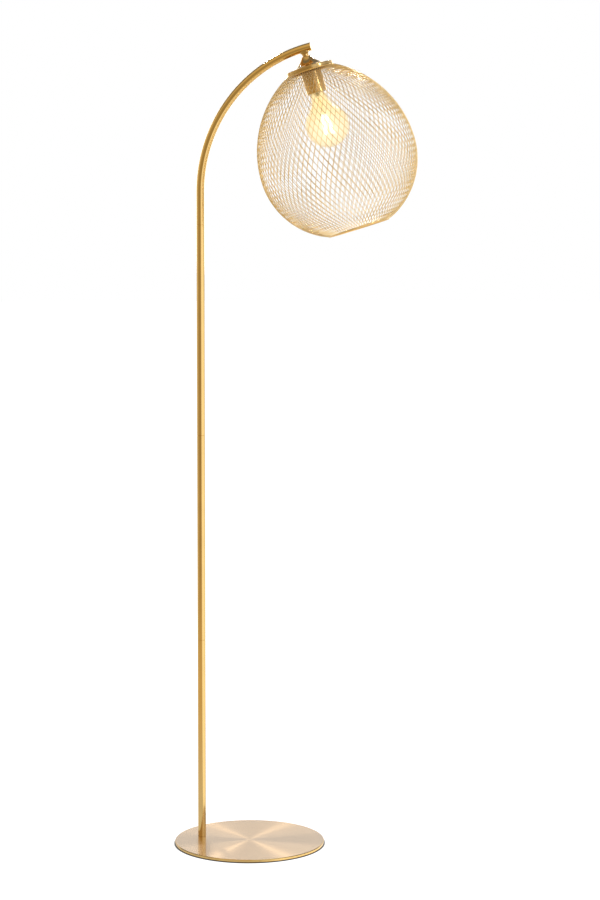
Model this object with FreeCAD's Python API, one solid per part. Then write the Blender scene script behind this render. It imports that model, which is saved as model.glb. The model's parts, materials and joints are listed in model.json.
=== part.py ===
import FreeCAD, Part
import math
import os

from FreeCAD import Placement, Rotation, Vector

# A brass floor lamp: a round base plate, a screw-together pole whose last section bends over
# in a quarter arch, and under its tip a tilted globe cage of crossing wires round one bulb.
# Millimetres. +Z is up, the floor is z = 0, and the origin is under the centre of the base.
# +X is the side that the arch reaches over.

# ---------------------------------------------------------------- base
BASE_DIAMETER = 280.0
BASE_THICKNESS = 5.0
BASE_TOP_BEVEL = 1.0
BASE_BOTTOM_BEVEL = 0.5
PAD_THICKNESS = 1.0
PAD_INSET = 4.0               # the pad's rim stands back from the plate's rim
PAD_ACCESS_DIAMETER = 40.0    # opening under the screw
POLE_FROM_RIM = 46.6          # from the pole's axis to the back edge of the base
SCREW_DIAMETER = 8.0
SCREW_HEAD_DIAMETER = 15.6
SCREW_GRIP = 18.0             # how far the screw reaches into the foot of the pole
SCREW_KEY = 5.0               # across the flats of its hexagonal recess
SCREW_KEY_DEPTH = 2.4
SCREW_HEAD_SINK = 0.2

# ---------------------------------------------------------------- pole and arch
TUBE_DIAMETER = 15.0
TUBE_WALL = 1.0
TUBE_END_BEVEL = 0.3          # makes the fine groove at each joint
LOWER_LENGTH = 376.0
MIDDLE_LENGTH = 387.0
UPPER_LENGTH = 394.0
ARM_STRAIGHT = 61.3
ARM_RADIUS = 276.5
ARM_SWEEP = 76.7              # degrees that the arch turns through
BRAZE_GAP = 0.05              # round a plug that is brazed into a tube
FOOT_PLUG_LENGTH = 25.0
JOINT_PLUG_LENGTH = 20.0
JOINT_THREAD_DIAMETER = 10.0
JOINT_THREAD_LENGTH = 15.0
THREAD_GAP = 0.05             # radial, between a screw thread and its mate
WIREWAY_DIAMETER = 7.0
END_PLUG_LENGTH = 3.0
END_BLOCK_TAIL = 10.0         # how far the block runs back from the neck

# ---------------------------------------------------------------- cord inlet and inner cable
INLET_HEIGHT = 40.0           # above the base plate
INLET_DIAMETER = 8.0
GROMMET_BORE = 4.6
GROMMET_FLANGE_DIAMETER = 11.0
GROMMET_FLANGE = 1.5
GROMMET_GAP = 0.05
CABLE_DIAMETER = 3.5
CABLE_BEND = 5.0
LEAD_DIAMETER = 1.4
LEAD_SPACING = 1.8
LEAD_BEND = 2.4

# ---------------------------------------------------------------- neck and cap
HEAD_TILT = 17.9              # degrees between the shade's axis and the vertical
NECK_TURN = 73.5              # where on the arch the neck stands, in degrees of its turn
NECK_LENGTH = 36.0            # from the tube's centre line to the top of the cap plate
STEM_DIAMETER = 10.0
STEM_SUNK = 3.0               # the stem's top end lies this far under the tube's centre line
STEM_BELOW_CAP = 14.0
STEM_HOLE_GAP = 0.1
SADDLE_FLARE = 9.4            # the saddle's reach along the tube where it meets it
SADDLE_HALF_WIDTH = 6.5       # its reach across the tube
SADDLE_RADIUS = 5.8
SADDLE_FILLET = 5.0
TRUMPET_HEIGHT = 21.0
TRUMPET_SHOULDER = 2.6        # drop of its rounded shoulder
TRUMPET_TOP_RADIUS = 9.8      # where the shoulder ends
TRUMPET_WAIST_RADIUS = 17.8
TRUMPET_WAIST_HEIGHT = 9.0
TRUMPET_FOOT_RADIUS = 36.0
TRUMPET_LIP = 1.0
TRUMPET_GAUGE = 1.2
CAP_RADIUS = 44.2
CAP_HEIGHT = 5.5
CAP_GAUGE = 1.2

# ---------------------------------------------------------------- wire cage
WIRE_DIAMETER = 1.0
WIRES_PER_LAY = 86
LAY_ANGLE = 25.8              # between a wire and the meridian at the widest place, degrees
WIRE_RUNS = 18                # straight runs that make up one wire
WELD_SINK = 0.06              # how far crossing wires are welded into each other
TOP_RING_BAR = 2.6
BOTTOM_RING_BAR = 3.0
CARRIER_GAP = 0.4
RING_UNDER_CAP = 0.1
CAGE_RADIUS = 145.3           # of the surface between the two lays, at the widest place
CAGE_EQUATOR = 177.2          # below the top of the cap plate
CAGE_HEIGHT = 309.7           # top of the cap plate to the lowest edge of the rim
RIM_RADIUS = 57.3             # to the centre of the bottom ring's bar

# ---------------------------------------------------------------- lampholder
COVER_RADIUS = 18.75
COVER_GAUGE = 1.0
COVER_BOTTOM = 49.0           # below the top of the cap plate
NUT_FLATS = 14.0
NUT_HEIGHT = 3.0
HOLDER_RADIUS = 17.2
HOLDER_TOP = 8.0
HOLDER_TOP_WALL = 4.0
HOLDER_SPLIT = 24.0
HOLDER_BOTTOM = 47.5
HOLDER_SPIGOT_RADIUS = 14.95
HOLDER_SPIGOT = 4.0
HOLDER_CAVITY_RADIUS = 13.0
HOLDER_FLOOR = 25.5
HOLDER_GAP = 0.1
SHELL_BORE_RADIUS = 13.35
SHELL_GAUGE = 0.6
SHELL_LIP_RADIUS = 9.5
SHELL_BOTTOM = 46.5
CONTACT_HEAD_RADIUS = 4.0
CONTACT_SHANK_RADIUS = 1.5
CONTACT_HEAD = 0.9
CONTACT_DOME = 0.6
STRIP_GAUGE = 0.6
STRIP_WIDTH = 5.0
TERMINAL_SIZE = 5.0
TERMINAL_HEIGHT = 6.0
TERMINAL_REACH = 7.5          # from the axis to a terminal's centre
TERMINAL_SCREW_DIAMETER = 2.5
TERMINAL_HEAD_DIAMETER = 4.4
TERMINAL_HEAD = 1.5

# ---------------------------------------------------------------- bulb
BULB_CONTACT_GAP = 0.2        # between the bulb's tip and the holder's contact
BULB_CONTACT_RADIUS = 4.6
BULB_CONTACT_HEIGHT = 1.2
BULB_CONTACT_DOME = 0.7
BULB_TURN_GAP = 0.05
BULB_INSULATOR_HEIGHT = 3.2
BULB_INSULATOR_RADIUS = 11.8
BULB_CAP_RADIUS = 13.27
BULB_CAP_GAUGE = 0.35
BULB_CAP_LENGTH = 21.5        # from the bulb's tip
GLOBE_RADIUS = 40.0
GLOBE_CENTRE = 84.8           # from the bulb's tip
GLASS_WALL = 0.8
GLASS_NECK_RADIUS = 12.8
GLASS_NECK_IN_CAP = 5.0
MOUNT_TIP = 62.0              # from the bulb's tip to the top of the glass mount
MOUNT_ROD_RADIUS = 2.5
FILAMENTS = 4
FILAMENT_DIAMETER = 1.6
FILAMENT_TOP_RADIUS = 4.5
FILAMENT_FOOT_RADIUS = 10.0
FILAMENT_HEIGHT = 38.0
SUPPORT_DIAMETER = 0.8

# ---------------------------------------------------------------- worked out from the above
UP = Vector(0, 0, 1)
ACROSS = Vector(0, 1, 0)
PLATE_TOP = PAD_THICKNESS + BASE_THICKNESS
POLE_SETBACK = BASE_DIAMETER / 2 - POLE_FROM_RIM
TUBE_RADIUS = TUBE_DIAMETER / 2
BORE_RADIUS = TUBE_RADIUS - TUBE_WALL
PLUG_RADIUS = BORE_RADIUS - BRAZE_GAP
WIREWAY_RADIUS = WIREWAY_DIAMETER / 2
SEAM_1 = PLATE_TOP + LOWER_LENGTH
SEAM_2 = SEAM_1 + MIDDLE_LENGTH
SEAM_3 = SEAM_2 + UPPER_LENGTH
ARCH_START = SEAM_3 + ARM_STRAIGHT
POLE_FOOT = Vector(-POLE_SETBACK, 0, 0)
ARCH_CENTRE = Vector(ARM_RADIUS - POLE_SETBACK, 0, ARCH_START)
STEM_RADIUS = STEM_DIAMETER / 2
STEM_HOLE = STEM_RADIUS + STEM_HOLE_GAP
COVER_BORE_RADIUS = COVER_RADIUS - COVER_GAUGE
COVER_TOP = 2 * CAP_GAUGE
BULB_TIP = HOLDER_FLOOR + CONTACT_HEAD + CONTACT_DOME + BULB_CONTACT_GAP


# ---------------------------------------------------------------- shaping tools
def outline(start, *steps):
    """A closed face in the half plane y = 0 through (radius, height) points.

    A step is either the next point, or a pair of points: one on an arc, and the arc's end.
    """
    def at(point):
        return Vector(point[0], 0, point[1])

    edges, here = [], start
    for step in steps + (start,):
        curved = isinstance(step[0], tuple)
        end = step[1] if curved else step
        if curved:
            edges.append(Part.Arc(at(here), at(step[0]), at(end)).toShape())
        elif (at(end) - at(here)).Length > 1e-7:
            edges.append(Part.makeLine(at(here), at(end)))
        here = end
    return Part.Face(Part.Wire(edges))


def turned(start, *steps):
    """A solid turned about the Z axis from an outline."""
    return outline(start, *steps).revolve(Vector(), UP, 360)


def sleeve(outer, inner, low, high):
    """A plain ring or, with an inner radius of 0, a disc between two heights."""
    body = Part.makeCylinder(outer, high - low, Vector(0, 0, low))
    if inner > 0:
        body = body.cut(Part.makeCylinder(inner, high - low, Vector(0, 0, low)))
    return body


def bevelled_tube(low, high):
    """A length of the pole's tube with a fine bevel at both ends."""
    cut = TUBE_END_BEVEL
    return turned(
        (BORE_RADIUS, low), (TUBE_RADIUS - cut, low), (TUBE_RADIUS, low + cut),
        (TUBE_RADIUS, high - cut), (TUBE_RADIUS - cut, high), (BORE_RADIUS, high),
    )


def hexagon(across_flats, low, high):
    """A hexagonal bar about the Z axis."""
    corner = across_flats / math.sqrt(3)
    points = [
        Vector(corner * math.cos(math.radians(60 * i)), corner * math.sin(math.radians(60 * i)), low)
        for i in range(7)
    ]
    return Part.Face(Part.makePolygon(points)).extrude(UP * (high - low))


def dome(radius, rise, level):
    """The middle point of the arc of a shallow dome, from its rim's level to its crown on the
    axis. A negative rise hangs down."""
    sphere = (radius ** 2 + rise ** 2) / (2 * abs(rise))
    sag = sphere - math.sqrt(sphere ** 2 - radius ** 2 / 4)
    return radius / 2, level + math.copysign(abs(rise) - sag, rise)


def box_between(low, high):
    """A box from its lowest corner to its highest."""
    size = high - low
    return Part.makeBox(size.x, size.y, size.z, low)


def rod(start, end, radius):
    """A round rod between two points."""
    return Part.makeCylinder(radius, (end - start).Length, start, end - start)


def swept(path, radius):
    """A round wire along a path of straight and curved edges that meet smoothly."""
    first = path.Edges[0]
    tangent = first.tangentAt(first.FirstParameter)
    ring = Part.Wire(Part.Circle(first.valueAt(first.FirstParameter), tangent, radius).toShape())
    return path.makePipeShell([ring], True, False)


def at_pole(shape):
    """Moves a shape that was turned about the Z axis onto the pole's axis."""
    moved = shape.copy()
    moved.translate(POLE_FOOT)
    return moved


def on_arch(turn):
    """A place on the arch's centre line, its own Z along the tube, from the degrees turned."""
    angle = math.radians(turn)
    reach = Vector(-math.cos(angle), 0, math.sin(angle)) * ARM_RADIUS
    return Placement(ARCH_CENTRE + reach, Rotation(ACROSS, turn))


def arch_turn(length):
    """The degrees of the arch's turn that a length along its centre line takes."""
    return math.degrees(length / ARM_RADIUS)


def arch_piece(outer, inner, start, end):
    """The stretch of a curved tube, or of a curved bar, between two turns of the arch."""
    place = on_arch(start)
    along = place.Rotation.multVec(UP)
    rings = [Part.Wire(Part.Circle(place.Base, along, r).toShape()) for r in (outer, inner) if r > 0]
    face = Part.Face(rings)
    return face.revolve(ARCH_CENTRE, ACROSS, end - start)


NECK_POINT = on_arch(NECK_TURN).Base
HEAD_DOWN = Vector(math.sin(math.radians(HEAD_TILT)), 0, -math.cos(math.radians(HEAD_TILT)))
HEAD = Placement(NECK_POINT + HEAD_DOWN * NECK_LENGTH, Rotation(ACROSS, -HEAD_TILT))


def in_head(shape):
    """Tilts a shape into the lamp's head: its own Z axis becomes the shade's axis."""
    return shape.transformed(HEAD.toMatrix(), True)


def save(node, *solids):
    """Writes one node. Several solids stay separate in it."""
    shape = solids[0] if len(solids) == 1 else Part.makeCompound(list(solids))
    shape.exportStep("parts/" + node + ".step")


# ---------------------------------------------------------------- base
def make_base():
    radius, low = BASE_DIAMETER / 2, PAD_THICKNESS
    plate = turned(
        (0, low), (radius - BASE_BOTTOM_BEVEL, low), (radius, low + BASE_BOTTOM_BEVEL),
        (radius, PLATE_TOP - BASE_TOP_BEVEL), (radius - BASE_TOP_BEVEL, PLATE_TOP), (0, PLATE_TOP),
    )
    shank = SCREW_DIAMETER / 2
    head = SCREW_HEAD_DIAMETER / 2
    sink = low + SCREW_HEAD_SINK
    hole = turned(
        (0, low), (head + SCREW_HEAD_SINK, low), (head + SCREW_HEAD_SINK, sink),
        (shank + SCREW_HEAD_SINK, sink + head - shank), (shank + SCREW_HEAD_SINK, PLATE_TOP),
        (0, PLATE_TOP),
    )
    save("base_plate", plate.cut(at_pole(hole)))

    screw = turned(
        (0, sink), (head, sink), (shank, sink + head - shank),
        (shank, PLATE_TOP + SCREW_GRIP), (0, PLATE_TOP + SCREW_GRIP),
    )
    screw = screw.cut(hexagon(SCREW_KEY, sink, sink + SCREW_KEY_DEPTH))
    save("base_screw", at_pole(screw))

    pad = sleeve(radius - PAD_INSET, 0, 0, low)
    access = at_pole(sleeve(PAD_ACCESS_DIAMETER / 2, 0, 0, low))
    save("base_pad", pad.cut(access))


# ---------------------------------------------------------------- pole
def make_pole():
    lower = at_pole(bevelled_tube(PLATE_TOP, SEAM_1))
    inlet = Vector(-POLE_SETBACK, 0, PLATE_TOP + INLET_HEIGHT)
    save("lower_pole", lower.cut(rod(inlet, inlet + ACROSS * TUBE_DIAMETER, INLET_DIAMETER / 2)))
    save("middle_pole", at_pole(bevelled_tube(SEAM_1, SEAM_2)))
    save("upper_pole", at_pole(bevelled_tube(SEAM_2, SEAM_3)))

    plug_top = PLATE_TOP + FOOT_PLUG_LENGTH
    thread = SCREW_DIAMETER / 2 + THREAD_GAP
    plug = sleeve(PLUG_RADIUS, 0, PLATE_TOP, plug_top)
    plug = plug.cut(sleeve(thread, 0, PLATE_TOP, PLATE_TOP + SCREW_GRIP + TUBE_WALL))
    save("pole_foot_plug", at_pole(plug))

    for name, seam in (("lower", SEAM_1), ("middle", SEAM_2), ("upper", SEAM_3)):
        save_joint(name, seam)


def save_joint(name, seam):
    """One screw joint of the pole: a threaded socket below the seam, a nipple above it."""
    thread = JOINT_THREAD_DIAMETER / 2
    socket = sleeve(PLUG_RADIUS, thread + THREAD_GAP, seam - JOINT_PLUG_LENGTH, seam)
    nipple = turned(
        (WIREWAY_RADIUS, seam - JOINT_THREAD_LENGTH), (thread, seam - JOINT_THREAD_LENGTH),
        (thread, seam), (PLUG_RADIUS, seam), (PLUG_RADIUS, seam + JOINT_PLUG_LENGTH),
        (WIREWAY_RADIUS, seam + JOINT_PLUG_LENGTH),
    )
    save(name + "_joint_socket", at_pole(socket))
    save(name + "_joint_nipple", at_pole(nipple))


def make_grommet():
    centre = Vector(-POLE_SETBACK, 0, PLATE_TOP + INLET_HEIGHT)
    face = TUBE_RADIUS + GROMMET_FLANGE
    flange = rod(centre, centre + ACROSS * face, GROMMET_FLANGE_DIAMETER / 2)
    pole = Part.makeCylinder(TUBE_RADIUS + GROMMET_GAP, 4 * INLET_DIAMETER,
                             centre - UP * 2 * INLET_DIAMETER)
    neck_radius = INLET_DIAMETER / 2 - GROMMET_GAP
    neck = rod(centre + ACROSS * BORE_RADIUS, centre + ACROSS * face, neck_radius)
    grommet = flange.cut(pole).fuse(neck)
    bore = rod(centre, centre + ACROSS * (face + 1), GROMMET_BORE / 2)
    save("cord_grommet", grommet.cut(bore).removeSplitter())


# ---------------------------------------------------------------- arch
def stem_hole_in_arch(radius, top):
    """The round hole for the stem, about the head's axis, from a depth below the tube's
    centre line down past the tube's wall."""
    depth = 2 * TUBE_RADIUS
    return Part.makeCylinder(radius, depth - top, NECK_POINT + HEAD_DOWN * top, HEAD_DOWN)


def make_arm():
    straight = at_pole(turned(
        (BORE_RADIUS, SEAM_3), (TUBE_RADIUS - TUBE_END_BEVEL, SEAM_3),
        (TUBE_RADIUS, SEAM_3 + TUBE_END_BEVEL), (TUBE_RADIUS, ARCH_START), (BORE_RADIUS, ARCH_START),
    ))
    arch = arch_piece(TUBE_RADIUS, BORE_RADIUS, 0, ARM_SWEEP)
    arm = straight.fuse(arch)
    save("arched_arm", arm.cut(stem_hole_in_arch(STEM_HOLE, 0)))

    plug_start = ARM_SWEEP - arch_turn(END_PLUG_LENGTH)
    save("arm_end_plug", arch_piece(PLUG_RADIUS, 0, plug_start, ARM_SWEEP))

    block = arch_piece(PLUG_RADIUS, 0, NECK_TURN - arch_turn(END_BLOCK_TAIL), plug_start)
    along = on_arch(NECK_TURN).Rotation.multVec(UP)
    block = block.cut(rod(NECK_POINT - along * 2 * END_BLOCK_TAIL, NECK_POINT + along * 2,
                          WIREWAY_RADIUS))
    block = block.cut(stem_hole_in_arch(WIREWAY_RADIUS, 0))
    block = block.cut(stem_hole_in_arch(STEM_RADIUS + THREAD_GAP, STEM_SUNK))
    save("arm_end_block", block)


# ---------------------------------------------------------------- neck and cap
def make_neck():
    stem = sleeve(STEM_RADIUS, WIREWAY_RADIUS, -STEM_BELOW_CAP, NECK_LENGTH - STEM_SUNK)
    save("neck_stem", in_head(stem))

    inner = STEM_RADIUS + THREAD_GAP
    top, foot = NECK_LENGTH, TRUMPET_HEIGHT
    fillet_end = NECK_LENGTH - TUBE_RADIUS - SADDLE_FILLET
    fillet_mid = (SADDLE_RADIUS + (SADDLE_FLARE - SADDLE_RADIUS) * 0.3, fillet_end + SADDLE_FILLET * 0.5)
    saddle = turned(
        (inner, foot), (SADDLE_RADIUS, foot), (SADDLE_RADIUS, fillet_end),
        (fillet_mid, (SADDLE_FLARE, fillet_end + SADDLE_FILLET)), (SADDLE_FLARE, top), (inner, top),
    )
    waist = Part.Wire(Part.Ellipse(Vector(0, 0, foot), SADDLE_FLARE + 1, SADDLE_HALF_WIDTH).toShape())
    saddle = saddle.common(Part.Face(waist).extrude(UP * (top - foot)))
    reach = arch_turn(2 * SADDLE_FLARE)
    tube = arch_piece(TUBE_RADIUS, 0, NECK_TURN - reach, NECK_TURN + reach)
    above = NECK_POINT - HEAD_DOWN * SADDLE_FLARE
    roof = Part.makeCylinder(2 * SADDLE_FLARE, SADDLE_FLARE, above, HEAD_DOWN)
    save("neck_saddle", in_head(saddle).cut(roof).cut(tube))


def make_trumpet():
    top, gauge, shoulder = TRUMPET_HEIGHT, TRUMPET_GAUGE, TRUMPET_SHOULDER
    bend = gauge * 0.7
    outer_mid = (TRUMPET_WAIST_RADIUS, TRUMPET_WAIST_HEIGHT)
    inner_mid = (TRUMPET_WAIST_RADIUS - bend, TRUMPET_WAIST_HEIGHT - bend)
    crown = SADDLE_RADIUS + 0.5
    round_mid = ((crown + 2 * TRUMPET_TOP_RADIUS) / 3, top - shoulder / 3)
    trumpet = turned(
        (STEM_HOLE, top), (crown, top), (round_mid, (TRUMPET_TOP_RADIUS, top - shoulder)),
        (outer_mid, (TRUMPET_FOOT_RADIUS, TRUMPET_LIP)),
        (TRUMPET_FOOT_RADIUS, 0), (TRUMPET_FOOT_RADIUS - gauge, 0),
        (inner_mid, (TRUMPET_TOP_RADIUS - bend, top - shoulder - bend)),
        (crown, top - gauge), (STEM_HOLE, top - gauge),
    )
    save("canopy_trumpet", in_head(trumpet))


def pressed_dish(radius, rise, top, gauge):
    """A pressed dish, open below, with a rounded corner and a hole for the stem."""
    bend = gauge * 0.3
    return turned(
        (STEM_HOLE, top), (radius - gauge, top), ((radius - bend, top - bend), (radius, top - gauge)),
        (radius, top - rise), (radius - gauge, top - rise), (radius - gauge, top - gauge),
        (STEM_HOLE, top - gauge),
    )


CARRIER_RADIUS = CAP_RADIUS - CAP_GAUGE - CARRIER_GAP
TOP_RING_RADIUS = CARRIER_RADIUS + TOP_RING_BAR / 2
TOP_RING_DROP = CAP_HEIGHT + RING_UNDER_CAP + TOP_RING_BAR / 2
RIM_DROP = CAGE_HEIGHT - BOTTOM_RING_BAR / 2


def make_cap():
    save("cap_plate", in_head(pressed_dish(CAP_RADIUS, CAP_HEIGHT, 0, CAP_GAUGE)))
    carrier = pressed_dish(CARRIER_RADIUS, TOP_RING_DROP - CAP_GAUGE, -CAP_GAUGE, CAP_GAUGE)
    save("cage_carrier", in_head(carrier))
    nut_top = COVER_TOP + COVER_GAUGE
    nut = hexagon(NUT_FLATS, -nut_top - NUT_HEIGHT, -nut_top)
    nut = nut.cut(sleeve(STEM_RADIUS + THREAD_GAP, 0, -nut_top - NUT_HEIGHT, -nut_top))
    save("stem_nut", in_head(nut))


# ---------------------------------------------------------------- wire cage
def flank(end_radius, end_drop):
    """The radius of the arc from the cage's widest place to a ring, standing square to the
    axis there."""
    inward, along = CAGE_RADIUS - end_radius, abs(CAGE_EQUATOR - end_drop)
    return (inward ** 2 + along ** 2) / (2 * inward)


UPPER_FLANK = flank(TOP_RING_RADIUS, TOP_RING_DROP)
LOWER_FLANK = flank(RIM_RADIUS, RIM_DROP)
UPPER_RUN = UPPER_FLANK * math.asin((CAGE_EQUATOR - TOP_RING_DROP) / UPPER_FLANK)
LOWER_RUN = LOWER_FLANK * math.asin((RIM_DROP - CAGE_EQUATOR) / LOWER_FLANK)
TWIST_PER_MM = math.tan(math.radians(LAY_ANGLE)) / CAGE_RADIUS


def cage_point(run, offset, hand):
    """A point on a wire, from its distance along the cage's meridian below the widest place,
    its offset from the surface between the lays, and the way that the wire winds."""
    flank_radius = UPPER_FLANK if run < 0 else LOWER_FLANK
    angle = run / flank_radius
    radius = CAGE_RADIUS - flank_radius + (flank_radius + offset) * math.cos(angle)
    drop = CAGE_EQUATOR + (flank_radius + offset) * math.sin(angle)
    twist = hand * TWIST_PER_MM * run
    return Vector(radius * math.cos(twist), radius * math.sin(twist), -drop)


def cage_wire(offset, hand):
    """One wire of a lay, from the middle of the top ring's bar to that of the bottom ring's."""
    step = (UPPER_RUN + LOWER_RUN) / WIRE_RUNS
    offsets = [0] + [offset] * (WIRE_RUNS - 1) + [0]
    points = [cage_point(i * step - UPPER_RUN, o, hand) for i, o in enumerate(offsets)]
    path = Part.makePolygon(points)
    ring = Part.Wire(Part.Circle(points[0], points[1] - points[0], WIRE_DIAMETER / 2).toShape())
    pipe = Part.BRepOffsetAPI.MakePipeShell(path)
    pipe.setTransitionMode(1)
    pipe.add(ring)
    pipe.build()
    pipe.makeSolid()
    return pipe.shape()


def make_cage():
    half_step = (WIRE_DIAMETER - WELD_SINK) / 2
    pitch = 360 / WIRES_PER_LAY
    for node, offset, hand, start in (
        ("cage_wires_outer", half_step, 1, 0),
        ("cage_wires_inner", -half_step, -1, pitch / 2),
    ):
        wire = cage_wire(offset, hand)
        lay = []
        for i in range(WIRES_PER_LAY):
            turn = Placement(Vector(), Rotation(UP, start + i * pitch))
            lay.append(wire.transformed(HEAD.multiply(turn).toMatrix(), True))
        save(node, *lay)

    for node, radius, drop, bar in (
        ("cage_top_ring", TOP_RING_RADIUS, TOP_RING_DROP, TOP_RING_BAR),
        ("cage_bottom_ring", RIM_RADIUS, RIM_DROP, BOTTOM_RING_BAR),
    ):
        save(node, in_head(Part.makeTorus(radius, bar / 2, Vector(0, 0, -drop))))


# ---------------------------------------------------------------- lampholder
def make_cover():
    cover = pressed_dish(COVER_RADIUS, COVER_BOTTOM - COVER_TOP, -COVER_TOP, COVER_GAUGE)
    save("holder_cover", in_head(cover))


def make_holder():
    top, split, spigot = -HOLDER_TOP, -HOLDER_SPLIT, HOLDER_SPLIT - HOLDER_SPIGOT
    entry = STEM_RADIUS + THREAD_GAP
    cap = turned(
        (entry, top), (HOLDER_RADIUS - 2, top), (HOLDER_RADIUS, top - 2), (HOLDER_RADIUS, split),
        (HOLDER_SPIGOT_RADIUS + THREAD_GAP, split), (HOLDER_SPIGOT_RADIUS + THREAD_GAP, -spigot),
        (HOLDER_CAVITY_RADIUS, -spigot), (HOLDER_CAVITY_RADIUS, top - HOLDER_TOP_WALL),
        (entry, top - HOLDER_TOP_WALL),
    )
    save("holder_cap", in_head(cap))

    roof = -spigot - HOLDER_GAP
    shell_seat = SHELL_BORE_RADIUS + SHELL_GAUGE + HOLDER_GAP
    body = turned(
        (0, roof), (HOLDER_SPIGOT_RADIUS, roof), (HOLDER_SPIGOT_RADIUS, split),
        (HOLDER_RADIUS, split), (HOLDER_RADIUS, -HOLDER_BOTTOM), (shell_seat, -HOLDER_BOTTOM),
        (shell_seat, -HOLDER_FLOOR), (0, -HOLDER_FLOOR),
    )
    body = body.cut(sleeve(CONTACT_SHANK_RADIUS + HOLDER_GAP, 0, -HOLDER_FLOOR, roof))
    leg = shell_leg(roof)
    slot = box_between(Vector(leg.XMin - HOLDER_GAP, leg.YMin - HOLDER_GAP, -HOLDER_FLOOR),
                       Vector(leg.XMax + HOLDER_GAP, leg.YMax + HOLDER_GAP, roof))
    save("holder_body", in_head(body.cut(slot)))
    make_contacts(roof)


def shell_leg(roof):
    """The box of the strip's leg that reaches down through the body to the shell's lip."""
    outer = (SHELL_LIP_RADIUS + SHELL_BORE_RADIUS) / 2
    return FreeCAD.BoundBox(-outer, -STRIP_WIDTH / 2, -HOLDER_FLOOR,
                            STRIP_GAUGE - outer, STRIP_WIDTH / 2, roof + STRIP_GAUGE)


def make_contacts(roof):
    outer = SHELL_BORE_RADIUS + SHELL_GAUGE
    lip = -HOLDER_FLOOR - SHELL_GAUGE
    shell = turned(
        (SHELL_LIP_RADIUS, -HOLDER_FLOOR), (outer, -HOLDER_FLOOR), (outer, -SHELL_BOTTOM),
        (SHELL_BORE_RADIUS, -SHELL_BOTTOM), (SHELL_BORE_RADIUS, lip), (SHELL_LIP_RADIUS, lip),
    )
    save("screw_shell", in_head(shell))

    strip_top, half = roof + STRIP_GAUGE, STRIP_WIDTH / 2
    strip_end = TERMINAL_REACH + TERMINAL_SIZE / 2
    head_low = -HOLDER_FLOOR - CONTACT_HEAD
    rivet = turned(
        (0, roof), (CONTACT_SHANK_RADIUS, roof), (CONTACT_SHANK_RADIUS, -HOLDER_FLOOR),
        (CONTACT_HEAD_RADIUS, -HOLDER_FLOOR), (CONTACT_HEAD_RADIUS, head_low),
        (dome(CONTACT_HEAD_RADIUS, -CONTACT_DOME, head_low), (0, head_low - CONTACT_DOME)),
    )
    strip = box_between(Vector(-half, -half, roof), Vector(strip_end, half, strip_top))
    save("centre_contact", in_head(rivet.fuse(strip)))

    leg = shell_leg(roof)
    down = box_between(Vector(leg.XMin, leg.YMin, leg.ZMin), Vector(leg.XMax, leg.YMax, leg.ZMax))
    inner = TERMINAL_REACH - TERMINAL_SIZE / 2
    flat = box_between(Vector(leg.XMin, -half, roof), Vector(-inner, half, strip_top))
    save("shell_contact", in_head(down.fuse(flat).removeSplitter()))

    blocks, screws = [], []
    for side in (1, -1):
        block, screw = terminal(side, strip_top)
        blocks.append(in_head(block))
        screws.append(in_head(screw))
    save("terminal_blocks", *blocks)
    save("terminal_screws", *screws)


def terminal(side, foot):
    """A terminal block on its strip, and the clamping screw in its flank."""
    half, reach = TERMINAL_SIZE / 2, side * TERMINAL_REACH
    block = box_between(Vector(reach - half, -half, foot), Vector(reach + half, half, foot + TERMINAL_HEIGHT))
    middle = Vector(reach, 0, foot + TERMINAL_HEIGHT / 2)
    shank = TERMINAL_SCREW_DIAMETER / 2
    block = block.cut(rod(middle, middle + ACROSS * half, shank + THREAD_GAP))
    head = rod(middle + ACROSS * half, middle + ACROSS * (half + TERMINAL_HEAD), TERMINAL_HEAD_DIAMETER / 2)
    return block, head.fuse(rod(middle + ACROSS * THREAD_GAP, middle + ACROSS * half, shank))


# ---------------------------------------------------------------- cable and leads
def cable_bend():
    """The last bend of the cable, from the arch's centre line into the stem: its middle, and
    the two places where it meets them."""
    left = Vector(HEAD_DOWN.z, 0, -HEAD_DOWN.x)
    corner = NECK_POINT + left * CABLE_BEND - ARCH_CENTRE
    along = corner.dot(HEAD_DOWN)
    room = (ARM_RADIUS - CABLE_BEND) ** 2 - corner.dot(corner)
    down = math.sqrt(along ** 2 + room) - along
    if down > ARM_RADIUS:
        down = -math.sqrt(along ** 2 + room) - along
    middle = ARCH_CENTRE + corner + HEAD_DOWN * down
    outward = (middle - ARCH_CENTRE).normalize()
    return middle, ARCH_CENTRE + outward * ARM_RADIUS, NECK_POINT + HEAD_DOWN * down


def bend_between(start, corner_centre, end):
    """An arc round a centre, by the shorter way."""
    radius = (start - corner_centre).Length
    middle = corner_centre + ((start + end) * 0.5 - corner_centre).normalize() * radius
    return Part.Arc(start, middle, end).toShape()


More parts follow.
